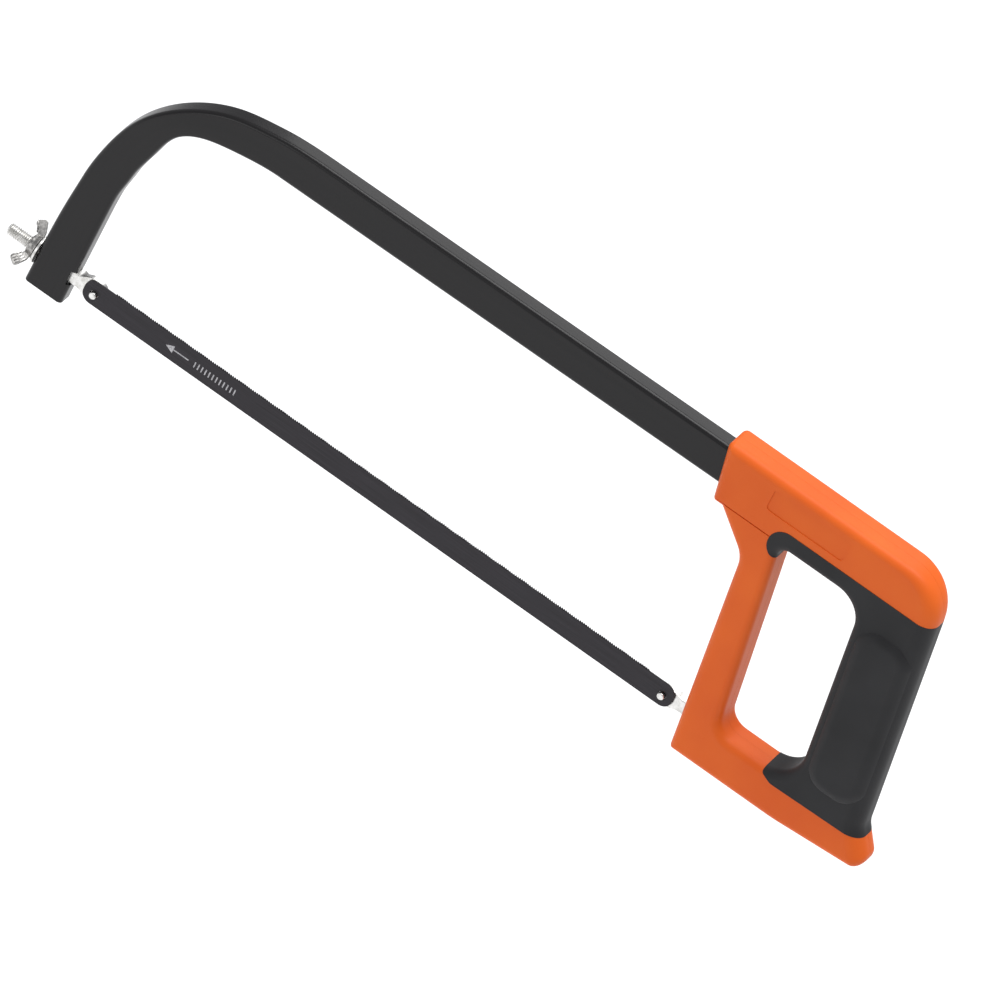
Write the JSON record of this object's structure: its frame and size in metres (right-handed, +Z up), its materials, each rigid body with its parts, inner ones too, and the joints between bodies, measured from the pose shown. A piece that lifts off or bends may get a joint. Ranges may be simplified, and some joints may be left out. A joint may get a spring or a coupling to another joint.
{
  "type": "hacksaw",
  "caption": "Hacksaw with a bent rectangular tube frame, two-shell D-handle with soft grips, and a fine-toothed blade held on pins and tensioned by a wing nut.",
  "frame": {"origin": "centre of the bounding box at the height of the handle's base, on which the saw can stand", "axes": "+X along the saw from the wing nut to the handle, +Y to the right of a user holding the handle, +Z up from the blade towards the frame tube"},
  "size_m": [0.4588, 0.0226, 0.152],
  "materials": {
    "tube": "satin black stove enamel",
    "handle_shell": "satin moulded orange",
    "grip": "matte soft black overmould",
    "strap": "plain pressed steel",
    "fittings": "bright zinc plate",
    "screws": "bright zinc plate",
    "blade": "thin dark lacquer on hardened steel"
  },
  "bodies": {
    "frame": {"frame_tube": "tube", "handle_shell_left": "handle_shell", "handle_shell_right": "handle_shell", "grip_left": "grip", "grip_right": "grip", "tension_strap": "strap", "strap_rivet_front": "strap", "strap_rivet_rear": "strap", "handle_screw_1": "screws", "handle_screw_2": "screws", "handle_screw_3": "screws", "handle_screw_4": "screws", "handle_screw_5": "screws", "handle_screw_6": "screws", "washer": "fittings"},
    "nut": {"wing_nut": "fittings"},
    "front_tongue": {"front_holder": "fittings", "front_blade_pin": "fittings"},
    "rear_tongue": {"rear_holder": "fittings", "rear_blade_pin": "fittings"},
    "blade": {"blade": "blade"}
  },
  "joints": [
    {"name": "wing_nut_turn", "type": "hinge", "parent": "frame", "child": "nut", "pos_m": [-0.2146, 0, 0.018], "axis": [-1, 0, 0], "range_deg": [0, 1800]},
    {"name": "tensioner_slide", "type": "slide", "parent": "frame", "child": "front_tongue", "axis": [1, 0, 0], "range_m": [0, 0.005]},
    {"name": "rear_tongue_slide", "type": "slide", "parent": "frame", "child": "rear_tongue", "axis": [1, 0, 0], "range_m": [0, 0.005]},
    {"name": "blade_lift_off", "type": "slide", "parent": "front_tongue", "child": "blade", "axis": [0, -1, 0], "range_m": [0, 0.012]}
  ],
  "couplings": [
    {"joint": "wing_nut_turn", "follows": "tensioner_slide", "rad_per_m": 6283.2},
    {"joint": "rear_tongue_slide", "follows": "tensioner_slide", "ratio": 1}
  ]
}
